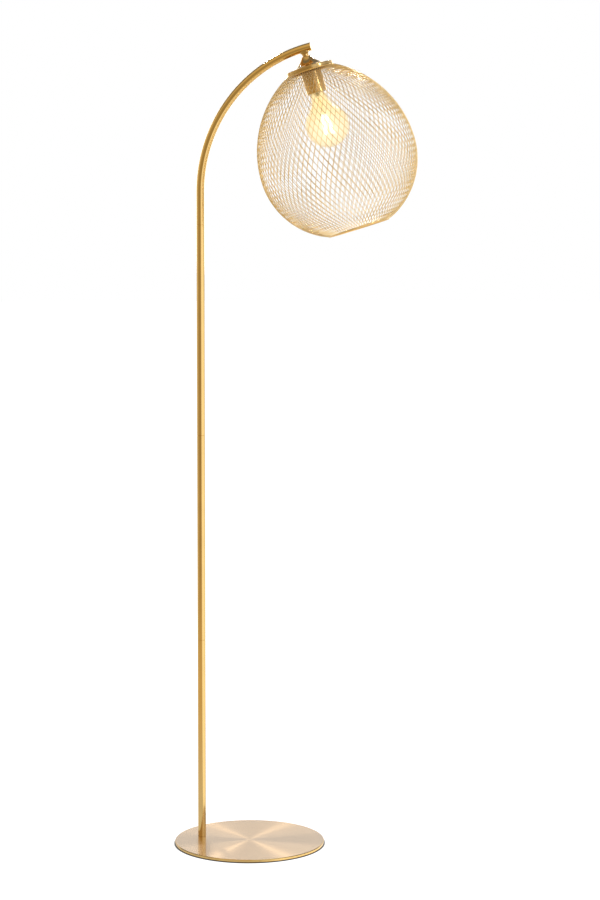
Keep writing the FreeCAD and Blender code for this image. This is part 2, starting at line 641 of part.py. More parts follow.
def make_cable():
    inlet = Vector(-POLE_SETBACK, 0, PLATE_TOP + INLET_HEIGHT)
    mouth = inlet + ACROSS * (TUBE_RADIUS + GROMMET_FLANGE)
    turn_in = inlet + ACROSS * CABLE_BEND
    turn_up = inlet + UP * CABLE_BEND
    arch_foot = Vector(-POLE_SETBACK, 0, ARCH_START)
    middle, leave, enter = cable_bend()
    cable_end = HEAD.multVec(Vector(0, 0, LEAD_BEND - STEM_BELOW_CAP))
    path = Part.Wire([
        Part.makeLine(mouth, turn_in),
        bend_between(turn_in, turn_in + UP * CABLE_BEND, turn_up),
        Part.makeLine(turn_up, arch_foot),
        bend_between(arch_foot, ARCH_CENTRE, leave),
        bend_between(leave, middle, enter),
        Part.makeLine(enter, cable_end),
    ])
    save("supply_cable", swept(path, CABLE_DIAMETER / 2))

    terminal_foot = HOLDER_SPIGOT - HOLDER_SPLIT - HOLDER_GAP + STRIP_GAUGE
    level = terminal_foot + TERMINAL_HEIGHT / 4
    for node, side in (("live_lead", 1), ("neutral_lead", -1)):
        start = Vector(side * LEAD_SPACING / 2, 0, LEAD_BEND - STEM_BELOW_CAP)
        bend = Vector(start.x, 0, level + LEAD_BEND)
        turned_out = Vector(start.x + side * LEAD_BEND, 0, level)
        end = Vector(side * (TERMINAL_REACH - TERMINAL_SIZE / 2), 0, level)
        lead = Part.Wire([
            Part.makeLine(start, bend),
            bend_between(bend, bend + Vector(side * LEAD_BEND, 0, 0), turned_out),
            Part.makeLine(turned_out, end),
        ])
        save(node, in_head(swept(lead, LEAD_DIAMETER / 2)))


# ---------------------------------------------------------------- bulb
def glass_half(inset, low):
    """One wall of the glass as outline steps: up the neck, round its throat and down the
    globe. The throat's arc touches both the neck and the globe."""
    centre = -BULB_TIP - GLOBE_CENTRE
    throat = -BULB_TIP - BULB_CAP_LENGTH - GLASS_WALL
    rise = throat - centre
    reach = GLOBE_RADIUS ** 2 - GLASS_NECK_RADIUS ** 2 - rise ** 2
    fillet = reach / (2 * (GLASS_NECK_RADIUS - GLOBE_RADIUS))
    pivot = (GLASS_NECK_RADIUS + fillet, throat)
    globe, bend = GLOBE_RADIUS - inset, fillet + inset
    slope = math.atan2(pivot[0], rise)
    touch = (globe * math.sin(slope), centre + globe * math.cos(slope))
    half_turn = (math.pi / 2 - slope) / 2
    throat_mid = (pivot[0] - bend * math.cos(half_turn), throat - bend * math.sin(half_turn))
    globe_mid = (slope + math.pi) / 2
    side = (globe * math.sin(globe_mid), centre + globe * math.cos(globe_mid))
    neck = GLASS_NECK_RADIUS - inset
    return (neck, low), (neck, throat), (throat_mid, touch), (side, (0, centre - globe))


def make_bulb():
    tip = -BULB_TIP
    rim = tip - BULB_CONTACT_DOME
    contact = turned(
        (0, tip - BULB_CONTACT_HEIGHT), (BULB_CONTACT_RADIUS, tip - BULB_CONTACT_HEIGHT),
        (BULB_CONTACT_RADIUS, rim), (dome(BULB_CONTACT_RADIUS, BULB_CONTACT_DOME, rim), (0, tip)),
    )
    save("bulb_contact", in_head(contact))

    collar = tip - BULB_CONTACT_HEIGHT - BULB_TURN_GAP
    foot = collar - BULB_INSULATOR_HEIGHT
    insulator = turned((0, collar), (BULB_CONTACT_RADIUS, collar), (BULB_INSULATOR_RADIUS, foot), (0, foot))
    save("bulb_insulator", in_head(insulator))

    cap_end = tip - BULB_CAP_LENGTH
    inner = BULB_CAP_RADIUS - BULB_CAP_GAUGE
    lip = BULB_CONTACT_RADIUS * 2
    cap = turned(
        (lip, foot), (BULB_CAP_RADIUS, foot), (BULB_CAP_RADIUS, cap_end), (inner, cap_end),
        (inner, foot - BULB_CAP_GAUGE), (lip, foot - BULB_CAP_GAUGE),
    )
    save("bulb_cap", in_head(cap))

    seat = cap_end + GLASS_NECK_IN_CAP
    outer_steps = glass_half(0, seat)
    inner_steps = glass_half(GLASS_WALL, seat)
    outer = turned((0, seat), *outer_steps)
    inside = turned((0, seat), *inner_steps)
    save("bulb_glass", in_head(outer.cut(inside)))
    make_bulb_inside(seat)


def make_bulb_inside(seat):
    neck = GLASS_NECK_RADIUS - GLASS_WALL - BRAZE_GAP
    mount_tip = -BULB_TIP - MOUNT_TIP
    mount = turned(
        (0, seat), (neck, seat), (neck, seat - GLASS_WALL),
        (MOUNT_ROD_RADIUS * 2, seat - neck / 2), (MOUNT_ROD_RADIUS, seat - neck),
        (MOUNT_ROD_RADIUS, mount_tip), (0, mount_tip),
    )
    save("bulb_glass_mount", in_head(mount))

    wire = SUPPORT_DIAMETER / 2
    top = mount_tip - FILAMENT_DIAMETER
    low = top - FILAMENT_HEIGHT
    supports = rod(Vector(0, 0, mount_tip), Vector(0, 0, low - wire), wire)
    sticks = []
    for i in range(FILAMENTS):
        angle = math.radians(360 / FILAMENTS * (i + 0.5))
        ray = Vector(math.cos(angle), math.sin(angle), 0)
        head = ray * FILAMENT_TOP_RADIUS + UP * top
        heel = ray * FILAMENT_FOOT_RADIUS + UP * low
        lean = (heel - head).normalize() * FILAMENT_DIAMETER / 2
        supports = supports.fuse(rod(Vector(0, 0, top), head, wire))
        supports = supports.fuse(rod(Vector(0, 0, low), heel, wire))
        sticks.append(in_head(rod(head + lean, heel - lean, FILAMENT_DIAMETER / 2)))
    save("filament_supports", in_head(supports))
    save("bulb_filaments", *sticks)


def main():
    os.makedirs("parts", exist_ok=True)
    make_base()
    make_pole()
    make_grommet()
    make_arm()
    make_neck()
    make_trumpet()
    make_cap()
    make_cage()
    make_cover()
    make_holder()
    make_cable()
    make_bulb()


main()
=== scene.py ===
import json
import math

import bmesh
import bpy
from mathutils import Matrix, Vector


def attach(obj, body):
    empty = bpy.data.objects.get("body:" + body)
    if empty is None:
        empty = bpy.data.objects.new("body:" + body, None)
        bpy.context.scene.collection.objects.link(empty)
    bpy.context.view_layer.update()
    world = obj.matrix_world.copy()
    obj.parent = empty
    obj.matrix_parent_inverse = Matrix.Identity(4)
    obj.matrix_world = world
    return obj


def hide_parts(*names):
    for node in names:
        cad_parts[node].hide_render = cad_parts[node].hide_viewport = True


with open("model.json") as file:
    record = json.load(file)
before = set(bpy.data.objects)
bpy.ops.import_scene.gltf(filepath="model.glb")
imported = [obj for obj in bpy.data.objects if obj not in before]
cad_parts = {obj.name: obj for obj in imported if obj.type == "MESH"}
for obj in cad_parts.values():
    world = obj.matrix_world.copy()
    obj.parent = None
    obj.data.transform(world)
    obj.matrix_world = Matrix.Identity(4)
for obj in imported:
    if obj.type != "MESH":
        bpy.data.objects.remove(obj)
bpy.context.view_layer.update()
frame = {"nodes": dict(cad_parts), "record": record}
nodes = frame["nodes"]

# The lamp's own frame: metres, +Z up, the floor at z = 0, +X the way the arch reaches.
HEAD_TILT = math.radians(17.9)
HEAD_DOWN = Vector((math.sin(HEAD_TILT), 0, -math.cos(HEAD_TILT)))
CAP_TOP = Vector((0.115635, 0, 1.455156))
HEAD = Matrix.Translation(CAP_TOP) @ Matrix.Rotation(-HEAD_TILT, 4, "Y")
BASE_RADIUS = 0.140

# Brass as it renders under plain light, linear colour.
BRASS = (0.83, 0.56, 0.21)
BRASS_DEEP = (0.66, 0.44, 0.18)
CHAMPAGNE = (0.50, 0.32, 0.155)
WIRE_GOLD = (0.92, 0.71, 0.39)
# painted shadow: the black of the cup's dark collar, where the cap shades the cup's top
PAINTED_SHADOW_BLACK = (0.02, 0.018, 0.015)

# Drops below the cap's top along the head's axis, each as a start and an end.
# painted shade and light: the cup's brass is painted darker near the cap, where the cap shades it,
# and lighter lower down as a painted glow from the bulb
CUP_PAINTED_SHADE = (0.010, 0.040)         # the cup's brass brightens downwards
# the cup's dark collar is a painted shadow, where the cap shades the cup's top
CUP_PAINTED_SHADOW = (0.0080, 0.0086)      # the lower edge of the cup's dark collar
GLASS_NECK = (0.070, 0.120)        # the bulb's glass pales from its neck to its globe


# ---------------------------------------------------------------- shader tools
def new_group(name, inputs, outputs):
    """A shader node group with named sockets. Returns the group, its input and its output node."""
    group = bpy.data.node_groups.new(name, "ShaderNodeTree")
    for socket, kind, value in inputs:
        made = group.interface.new_socket(socket, in_out="INPUT", socket_type=kind)
        if value is not None:
            made.default_value = value
    for socket, kind in outputs:
        group.interface.new_socket(socket, in_out="OUTPUT", socket_type=kind)
    return group, group.nodes.new("NodeGroupInput"), group.nodes.new("NodeGroupOutput")


def node(tree, kind, **settings):
    """A node with its settings; inputs are given as in_NAME or in_0, in_1 and so on."""
    made = tree.nodes.new(kind)
    for key, value in settings.items():
        if key.startswith("in_"):
            name = key[3:]
            socket = made.inputs[int(name)] if name.isdigit() else made.inputs[name.replace("_", " ")]
            if isinstance(value, bpy.types.NodeSocket):
                tree.links.new(value, socket)
            else:
                socket.default_value = value
        else:
            setattr(made, key, value)
    return made


def sum_of(tree, operation, a, b=0.0, c=None):
    """The output of a Math node."""
    made = node(tree, "ShaderNodeMath", operation=operation, in_0=a, in_1=b)
    if c is not None:
        if isinstance(c, bpy.types.NodeSocket):
            tree.links.new(c, made.inputs[2])
        else:
            made.inputs[2].default_value = c
    return made.outputs[0]


def vector_of(tree, operation, output, **inputs):
    """An output of a Vector Math node."""
    return node(tree, "ShaderNodeVectorMath", operation=operation, **inputs).outputs[output]


def run_of(tree, value, span, low=0.0, high=1.0):
    """Runs from low to high while the value goes over the span, and stays there outside it."""
    return node(tree, "ShaderNodeMapRange", in_Value=value, in_1=span[0], in_2=span[1],
                in_3=low, in_4=high).outputs[0]


def blend_values(tree, factor, a, b):
    """The output of a plain Mix node."""
    return node(tree, "ShaderNodeMix", in_0=factor, in_2=a, in_3=b).outputs[0]


def blend_colours(tree, factor, a, b):
    """The output of a colour Mix node."""
    made = tree.nodes.new("ShaderNodeMix")
    made.data_type = "RGBA"
    for socket, value in ((made.inputs[0], factor), (made.inputs[6], a), (made.inputs[7], b)):
        if isinstance(value, bpy.types.NodeSocket):
            tree.links.new(value, socket)
        elif isinstance(value, tuple):
            socket.default_value = (*value[:3], 1.0)
        else:
            socket.default_value = value
    return made.outputs[2]


def tone(colour, factor):
    return tuple(c * factor for c in colour)


def object_spot(tree):
    return node(tree, "ShaderNodeTexCoord").outputs["Object"]


def head_drop(tree, spot):
    """How far a spot lies below the cap's top, along the head's axis."""
    drop = vector_of(tree, "DOT_PRODUCT", "Value", in_0=spot, in_1=HEAD_DOWN)
    return sum_of(tree, "SUBTRACT", drop, CAP_TOP.dot(HEAD_DOWN))


def make_wear_group():
    """A faint unevenness of the lacquer, from object coordinates."""
    group, inside, out = new_group(
        "lacquer_unevenness",
        [("Scale", "NodeSocketFloat", 30.0), ("Rough Low", "NodeSocketFloat", 0.2),
         ("Rough High", "NodeSocketFloat", 0.3)],
        [("Roughness", "NodeSocketFloat"), ("Shade", "NodeSocketFloat")],
    )
    cloud = node(group, "ShaderNodeTexNoise", in_Vector=object_spot(group),
                 in_Scale=inside.outputs["Scale"], in_Detail=5.0, in_Roughness=0.55)
    rough = run_of(group, cloud.outputs["Fac"], (0.3, 0.7),
                   inside.outputs["Rough Low"], inside.outputs["Rough High"])
    group.links.new(rough, out.inputs["Roughness"])
    group.links.new(cloud.outputs["Fac"], out.inputs["Shade"])
    return group


def make_grain_group():
    """Fine drawn lines: noise over a vector that the caller has stretched."""
    group, inside, out = new_group(
        "drawn_grain",
        [("Across", "NodeSocketVector", None), ("Scale", "NodeSocketFloat", 1.0)],
        [("Lines", "NodeSocketFloat")],
    )
    lines = node(group, "ShaderNodeTexNoise", in_Vector=inside.outputs["Across"],
                 in_Scale=inside.outputs["Scale"], in_Detail=6.0, in_Roughness=0.7)
    group.links.new(lines.outputs["Fac"], out.inputs["Lines"])
    return group


UNEVEN = make_wear_group()
GRAIN = make_grain_group()


def wear_of(tree, scale, low, high):
    """The outputs of the unevenness group, with a roughness from low to high."""
    return node(tree, "ShaderNodeGroup", node_tree=UNEVEN, in_Scale=scale,
                in_Rough_Low=low, in_Rough_High=high).outputs


def grain_of(tree, across, scale):
    return node(tree, "ShaderNodeGroup", node_tree=GRAIN, in_Across=across,
                in_Scale=scale).outputs["Lines"]


def raise_lines(tree, shader, height, strength, depth):
    raised = node(tree, "ShaderNodeBump", in_Height=height, in_Strength=strength, in_Distance=depth)
    tree.links.new(raised.outputs[0], shader.inputs["Normal"])


# ---------------------------------------------------------------- finishes
def material(name, colour, roughness=0.5, metallic=0.0, **sockets):
    """A Principled material. Sockets are constants on the shader, such as coat_weight."""
    made = bpy.data.materials.new(name)
    made.use_nodes = True
    shader = made.node_tree.nodes["Principled BSDF"]
    shader.inputs["Base Color"].default_value = (*colour, 1.0)
    shader.inputs["Roughness"].default_value = roughness
    shader.inputs["Metallic"].default_value = metallic
    for key, value in sockets.items():
        shader.inputs[key.replace("_", " ").title().replace("Ior", "IOR")].default_value = value
    made.diffuse_color = (*colour, 1.0)
    return made, made.node_tree, shader


def drawn_brass(name, colour, deep, rough, grain_scale, stretch=(1, 1, 1), bump=0.0, **sockets):
    """Lacquered brass with fine lines along the axis that stretch makes long."""
    low, high = rough
    made, tree, shader = material(name, colour, low, 1.0, **sockets)
    along = node(tree, "ShaderNodeMapping", in_Vector=object_spot(tree))
    along.inputs["Scale"].default_value = stretch
    grain = grain_of(tree, along.outputs[0], grain_scale)
    wear = wear_of(tree, 22.0, low, high)
    shade = sum_of(tree, "MULTIPLY", wear["Shade"], 0.5)
    shade = sum_of(tree, "MULTIPLY_ADD", grain, 0.45, shade)
    shade = run_of(tree, shade, (0.34, 0.62))
    tree.links.new(blend_colours(tree, shade, deep, colour), shader.inputs["Base Color"])
    tree.links.new(wear["Roughness"], shader.inputs["Roughness"])
    if bump:
        raise_lines(tree, shader, grain, bump, 0.00005)
    return made


def cup_brass_painted_shade():
    """The lampholder's cup, with painted shade: darker towards the cap, where the cap shades it, and
    lighter lower down as a painted glow from the bulb; and a black collar painted where it meets the
    cap, as a painted shadow.
    """
    made, tree, shader = material("cup_brass_painted_shade", BRASS_DEEP, 0.16, 1.0)
    drop = head_drop(tree, object_spot(tree))
    wear = wear_of(tree, 60.0, 0.14, 0.20)
    deep = blend_colours(tree, wear["Shade"], tone(BRASS_DEEP, 0.66), tone(BRASS_DEEP, 0.80))
    bright = blend_colours(tree, wear["Shade"], tone(BRASS_DEEP, 1.05), tone(BRASS_DEEP, 1.25))
    # painted shade near the cap, and a painted glow from the bulb lower down
    gold = blend_colours(tree, run_of(tree, drop, CUP_PAINTED_SHADE), deep, bright)
    # painted shadow: a black band, not metal, on the cup's top under the cap
    outside_painted_shadow = run_of(tree, drop, CUP_PAINTED_SHADOW)
    tree.links.new(blend_colours(tree, outside_painted_shadow, PAINTED_SHADOW_BLACK, gold), shader.inputs["Base Color"])
    tree.links.new(outside_painted_shadow, shader.inputs["Metallic"])
    tree.links.new(wear["Roughness"], shader.inputs["Roughness"])
    return made


def spun_brass():
    """The base's top face: brushed in circles round its centre, under clear lacquer."""
    made, tree, shader = material("base_spun_champagne", CHAMPAGNE, 0.26, 1.0, anisotropic=0.94,
                                  coat_weight=1.0, coat_roughness=0.02)
    parts = node(tree, "ShaderNodeSeparateXYZ", in_Vector=object_spot(tree)).outputs
    flat = node(tree, "ShaderNodeCombineXYZ", in_X=parts[0], in_Y=parts[1]).outputs[0]
    radius = vector_of(tree, "LENGTH", "Value", in_0=flat)
    radial = vector_of(tree, "NORMALIZE", 0, in_0=flat)
    tree.links.new(radial, shader.inputs["Tangent"])
    # the direction round the disc is a short arc on a small circle, so a groove runs a long way
    rings = vector_of(tree, "SCALE", 0, in_0=radial, in_Scale=0.55)
    turn = node(tree, "ShaderNodeSeparateXYZ", in_Vector=rings).outputs
    depth = sum_of(tree, "MULTIPLY", radius, 900.0)
    place = node(tree, "ShaderNodeCombineXYZ", in_X=turn[0], in_Y=turn[1], in_Z=depth).outputs[0]
    grain = grain_of(tree, place, 1.0)
    fans = node(tree, "ShaderNodeTexNoise", in_Vector=radial, in_Scale=3.4, in_Detail=3.0,
                in_Roughness=0.6).outputs["Fac"]
    shade = sum_of(tree, "MULTIPLY", grain, 0.6)
    shade = sum_of(tree, "MULTIPLY_ADD", fans, 0.4, shade)
    shade = run_of(tree, shade, (0.35, 0.65))
    colour = blend_colours(tree, shade, tone(CHAMPAGNE, 0.93), tone(CHAMPAGNE, 1.05))
    tree.links.new(colour, shader.inputs["Base Color"])
    wear = wear_of(tree, 9.0, 0.24, 0.27)
    tree.links.new(wear["Roughness"], shader.inputs["Roughness"])
    raise_lines(tree, shader, grain, 0.05, 0.00003)
    return made


def plain_detail(name, colour, low, high, scale, metallic=0.0, bump=0.0):
    """Moulded, cast or plated stuff: cloudy colour and roughness, and a fine skin."""
    made, tree, shader = material(name, colour, low, metallic)
    wear = wear_of(tree, scale, low, high)
    cloudy = blend_colours(tree, wear["Shade"], tone(colour, 0.88), tone(colour, 1.08))
    tree.links.new(cloudy, shader.inputs["Base Color"])
    tree.links.new(wear["Roughness"], shader.inputs["Roughness"])
    if bump:
        skin = node(tree, "ShaderNodeTexNoise", in_Vector=object_spot(tree), in_Scale=scale * 40,
                    in_Detail=3.0)
        raise_lines(tree, shader, skin.outputs["Fac"], bump, 0.0001)
    return made


def amber_glass():
    """Gold-tinted glass, deeper at the neck than round the globe."""
    made, tree, shader = material("bulb_amber_glass", (1.0, 0.94, 0.76), 0.36, 0.0,
                                  transmission_weight=1.0, ior=1.2)
    spot = object_spot(tree)
    cloud = node(tree, "ShaderNodeTexNoise", in_Vector=spot, in_Scale=26.0, in_Detail=2.0)
    globe = blend_colours(tree, cloud.outputs["Fac"], (1.0, 0.94, 0.79), (1.0, 0.955, 0.86))
    tint = blend_colours(tree, run_of(tree, head_drop(tree, spot), GLASS_NECK),
                         (1.0, 0.915, 0.70), globe)
    tree.links.new(tint, shader.inputs["Base Color"])
    shader.inputs["Emission Color"].default_value = (1.0, 0.80, 0.40, 1.0)
    shader.inputs["Emission Strength"].default_value = 0.07
    return made


def clear_glass():
    return material("bulb_mount_glass", (1.0, 0.93, 0.80), 0.02, 0.0,
                    transmission_weight=1.0, ior=1.45)[0]


def glowing(name, colour, strength):
    made, _, shader = material(name, colour)
    shader.inputs["Emission Color"].default_value = (*colour, 1.0)
    shader.inputs["Emission Strength"].default_value = strength
    return made


# by slot: name, colour, lowest and highest roughness, scale of the cloud, and what else it has
PLAIN_DETAILS = {
    "base_pad_black": ("base_pad_rubber", (0.03, 0.03, 0.03), 0.75, 0.9, 60.0, {"bump": 0.4}),
    "zinc_steel": ("zinc_plated_steel", (0.55, 0.56, 0.57), 0.3, 0.42, 80.0, {"metallic": 1.0}),
    "grommet_black": ("grommet_moulding", (0.03, 0.03, 0.03), 0.5, 0.65, 120.0, {"bump": 0.2}),
    "phenolic_black": ("phenolic_moulding", (0.035, 0.03, 0.028), 0.38, 0.5, 120.0, {"bump": 0.2}),
    "contact_brass": ("contact_brass", (0.78, 0.55, 0.22), 0.25, 0.35, 120.0, {"metallic": 1.0}),
    "cable_black": ("cable_jacket", (0.03, 0.03, 0.03), 0.5, 0.6, 120.0, {"bump": 0.1}),
    "lead_brown": ("lead_brown", (0.16, 0.06, 0.025), 0.45, 0.55, 150.0, {}),
    "lead_blue": ("lead_blue", (0.02, 0.06, 0.30), 0.45, 0.55, 150.0, {}),
    "bulb_nickel": ("bulb_cap_nickel", (0.62, 0.60, 0.56), 0.22, 0.32, 140.0, {"metallic": 1.0}),
    "bulb_solder": ("bulb_solder", (0.60, 0.60, 0.60), 0.4, 0.5, 200.0, {"metallic": 1.0}),
    "bulb_black_glass": ("bulb_insulator_glass", (0.02, 0.02, 0.03), 0.1, 0.2, 100.0, {}),
    "filament_wire": ("filament_wire", (0.5, 0.48, 0.45), 0.3, 0.4, 150.0, {"metallic": 1.0}),
}


def make_materials():
    """The finishes by the record's slots, and two more: the base's edge and the cup with painted
    shade.
    """
    made = {slot: plain_detail(*looks, **more) for slot, (*looks, more) in PLAIN_DETAILS.items()}
    made["base_champagne"] = spun_brass()
    made["base_edge"] = drawn_brass("base_polished_edge", BRASS, BRASS_DEEP, (0.10, 0.16), 60.0)
    made["pole_brass"] = drawn_brass(
        "pole_satin_brass", BRASS, tone(BRASS, 0.88), (0.10, 0.14), 900.0,
        stretch=(1.0, 1.0, 0.015), bump=0.05, coat_weight=0.1, coat_roughness=0.05)
    made["polished_brass"] = drawn_brass(
        "cap_polished_brass", tone(BRASS_DEEP, 1.05), tone(BRASS_DEEP, 0.94), (0.10, 0.15), 40.0)
    made["cup_brass_painted_shade"] = cup_brass_painted_shade()
    made["ring_brass"] = drawn_brass("ring_brass", BRASS, tone(BRASS, 0.85), (0.18, 0.26), 90.0)
    made["wire_brass"] = drawn_brass(
        "cage_wire_brass", WIRE_GOLD, tone(WIRE_GOLD, 0.85), (0.22, 0.32), 140.0)
    made["bulb_amber_glass"] = amber_glass()
    made["bulb_clear_glass"] = clear_glass()
    made["filament_lit"] = glowing("filament_lit", (1.0, 0.86, 0.58), 6.0)
    return made


MATERIALS = make_materials()


def dress_cad_nodes():
    """Gives each CAD node the finish of its own slot in the record, and the cup its own, with painted
    shade.
    """
    for part in frame["record"]["subparts"]:
        data = nodes[part["node"]].data
        data.materials.clear()
        data.materials.append(MATERIALS[part["material_slot"]])
    nodes["holder_cover"].data.materials[0] = MATERIALS["cup_brass_painted_shade"]


def dress_base_edge():
    """The bevels and the wall of the base plate are polished; only its top face is spun."""
    data = nodes["base_plate"].data
    data.materials.append(MATERIALS["base_edge"])
    top = max(v.co.z for v in data.vertices) - 0.00005
    for face in data.polygons:
        on_top = all(data.vertices[i].co.z > top for i in face.vertices)
        face.material_index = 0 if on_top else 1


dress_cad_nodes()
dress_base_edge()


# ---------------------------------------------------------------- the wire cage
WIRE_RADIUS = 0.0005
WIRE_SIDES = 7
WIRE_STATIONS = 56
CAGE_RADIUS = 0.1453
CAGE_EQUATOR = 0.1772              # its drop below the cap's top
TOP_RING = (0.0439, 0.0069)        # radius and drop of the top ring's centre line
BOTTOM_RING = (0.0573, 0.3082)
LAY_ANGLE = math.radians(25.8)
WIRES_PER_LAY = 86
WELD_SINK = 0.00006


def flank(ring):
    """The radius of the arc from the equator to a ring."""
    inward, along = CAGE_RADIUS - ring[0], abs(CAGE_EQUATOR - ring[1])
    return (inward ** 2 + along ** 2) / (2 * inward)


def geometry_tree(name, inputs):
    """A Geometry Nodes tree with named inputs. Returns the tree, its inputs and its end node."""
    tree = bpy.data.node_groups.new(name, "GeometryNodeTree")
    for socket, kind, value in inputs:
        made = tree.interface.new_socket(socket, in_out="INPUT", socket_type=kind)
        if value is not None:
            made.default_value = value
    tree.interface.new_socket("Geometry", in_out="OUTPUT", socket_type="NodeSocketGeometry")
    return tree, tree.nodes.new("NodeGroupInput").outputs, tree.nodes.new("NodeGroupOutput")


def make_lay_tree():
    """A lay of wires: one wire that winds down the cage's two flanks, repeated round the axis."""
    tree, given, out = geometry_tree("cage_lay", [
        ("Wires", "NodeSocketInt", WIRES_PER_LAY), ("Stations", "NodeSocketInt", WIRE_STATIONS),
        ("Wire Radius", "NodeSocketFloat", WIRE_RADIUS), ("Offset", "NodeSocketFloat", 0.0),
        ("Hand", "NodeSocketFloat", 1.0), ("Start", "NodeSocketFloat", 0.0),
        ("Twist", "NodeSocketFloat", 1.0), ("Widest", "NodeSocketFloat", CAGE_RADIUS),
        ("Equator", "NodeSocketFloat", CAGE_EQUATOR),
        ("Upper Flank", "NodeSocketFloat", 1.0), ("Lower Flank", "NodeSocketFloat", 1.0),
        ("Upper Run", "NodeSocketFloat", 1.0), ("Lower Run", "NodeSocketFloat", 1.0),
        ("Finish", "NodeSocketMaterial", None),
    ])

    line = node(tree, "GeometryNodeMeshLine", in_Count=given["Stations"])
    index = node(tree, "GeometryNodeInputIndex").outputs[0]
    last = sum_of(tree, "SUBTRACT", given["Stations"], 1.0)
    share = sum_of(tree, "DIVIDE", index, last)
    length = sum_of(tree, "ADD", given["Upper Run"], given["Lower Run"])
    run = sum_of(tree, "SUBTRACT", sum_of(tree, "MULTIPLY", share, length), given["Upper Run"])
    below = sum_of(tree, "GREATER_THAN", run, 0.0)
    change = sum_of(tree, "SUBTRACT", given["Lower Flank"], given["Upper Flank"])
    bend = sum_of(tree, "MULTIPLY_ADD", below, change, given["Upper Flank"])
    angle = sum_of(tree, "DIVIDE", run, bend)
    # the lay's offset fades out over the first and last stations, into the rings
    from_end = sum_of(tree, "MINIMUM", share, sum_of(tree, "SUBTRACT", 1.0, share))
    fade = sum_of(tree, "MINIMUM", sum_of(tree, "MULTIPLY", from_end, 24.0), 1.0)
    swing = sum_of(tree, "MULTIPLY_ADD", given["Offset"], fade, bend)
    radius = sum_of(tree, "MULTIPLY", swing, sum_of(tree, "COSINE", angle))
    radius = sum_of(tree, "ADD", radius, sum_of(tree, "SUBTRACT", given["Widest"], bend))
    drop = sum_of(tree, "MULTIPLY_ADD", swing, sum_of(tree, "SINE", angle), given["Equator"])
    twist = sum_of(tree, "MULTIPLY", sum_of(tree, "MULTIPLY", run, given["Twist"]), given["Hand"])
    place = node(tree, "ShaderNodeCombineXYZ",
                 in_X=sum_of(tree, "MULTIPLY", radius, sum_of(tree, "COSINE", twist)),
                 in_Y=sum_of(tree, "MULTIPLY", radius, sum_of(tree, "SINE", twist)),
                 in_Z=sum_of(tree, "MULTIPLY", drop, -1.0))
    shaped = node(tree, "GeometryNodeSetPosition", in_Geometry=line.outputs[0],
                  in_Position=place.outputs[0])
    curve = node(tree, "GeometryNodeMeshToCurve", in_Mesh=shaped.outputs[0])
    ring = node(tree, "GeometryNodeCurvePrimitiveCircle", in_Resolution=WIRE_SIDES,
                in_Radius=given["Wire Radius"])
    wire = node(tree, "GeometryNodeCurveToMesh", in_Curve=curve.outputs[0], in_Fill_Caps=True)
    tree.links.new(ring.outputs[0], wire.inputs["Profile Curve"])

    seeds = node(tree, "GeometryNodePoints", in_Count=given["Wires"])
    seed = node(tree, "GeometryNodeInputIndex").outputs[0]
    step = sum_of(tree, "DIVIDE", 2 * math.pi, given["Wires"])
    turn = sum_of(tree, "MULTIPLY", sum_of(tree, "ADD", seed, given["Start"]), step)
    facing = node(tree, "ShaderNodeCombineXYZ", in_Z=turn)
    spread = node(tree, "GeometryNodeInstanceOnPoints", in_Points=seeds.outputs[0],
                  in_Instance=wire.outputs[0], in_Rotation=facing.outputs[0])
    real = node(tree, "GeometryNodeRealizeInstances", in_Geometry=spread.outputs[0])
    smooth = node(tree, "GeometryNodeSetShadeSmooth", in_Geometry=real.outputs[0])
    painted = node(tree, "GeometryNodeSetMaterial", in_Geometry=smooth.outputs[0],
                   in_Material=given["Finish"])
    tree.links.new(painted.outputs[0], out.inputs[0])
    return tree


def from_tree(name, tree, values, place):
    """Runs a Geometry Nodes tree and keeps what it makes as a plain mesh, put in its place."""
    holder = bpy.data.objects.new(name + "_maker", bpy.data.meshes.new(name + "_maker"))
    bpy.context.scene.collection.objects.link(holder)
    modifier = holder.modifiers.new("maker", "NODES")
    modifier.node_group = tree
    sockets = {s.name: s.identifier for s in tree.interface.items_tree if s.in_out == "INPUT"}
    for key, value in values.items():
        modifier[sockets[key]] = value
    graph = bpy.context.evaluated_depsgraph_get()
    mesh = bpy.data.meshes.new_from_object(holder.evaluated_get(graph))
    mesh.name = name
    mesh.transform(place)
    bpy.data.objects.remove(holder)
    made = bpy.data.objects.new(name, mesh)
    bpy.context.scene.collection.objects.link(made)
    return made


def make_cage():
    """The two lays of wires, wound opposite ways, in place of the source's straight runs."""
    upper, lower = flank(TOP_RING), flank(BOTTOM_RING)
    shared = {
        "Wires": WIRES_PER_LAY, "Wire Radius": WIRE_RADIUS,
        "Widest": CAGE_RADIUS, "Equator": CAGE_EQUATOR,
        "Twist": math.tan(LAY_ANGLE) / CAGE_RADIUS, "Upper Flank": upper, "Lower Flank": lower,
        "Upper Run": upper * math.asin((CAGE_EQUATOR - TOP_RING[1]) / upper),
        "Lower Run": lower * math.asin((BOTTOM_RING[1] - CAGE_EQUATOR) / lower),
        "Finish": MATERIALS["wire_brass"],
    }
    tree = make_lay_tree()
    half = WIRE_RADIUS - WELD_SINK / 2
    lays = (("cage_wires_outer", half, 1.0, 0.0), ("cage_wires_inner", -half, -1.0, 0.5))
    for name, offset, hand, start in lays:
        own = {"Offset": offset, "Hand": hand, "Start": start}
        lay = from_tree(name + "_smooth", tree, {**shared, **own}, HEAD)
        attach(lay, "lamp")
        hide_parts(name)


make_cage()


# ---------------------------------------------------------------- floor, light and camera
WHITE = (1.0, 1.0, 1.0)
DIM_ROOM = (1.0, 0.80, 0.46)           # the tint of the studio's dim side, in mirrors
TINT_ENDS = (0.45, 1.0)                # the levels over which that tint goes over into white
PHOTOGRAPHER = math.radians(-74.9)     # the bearing of the camera from the lamp
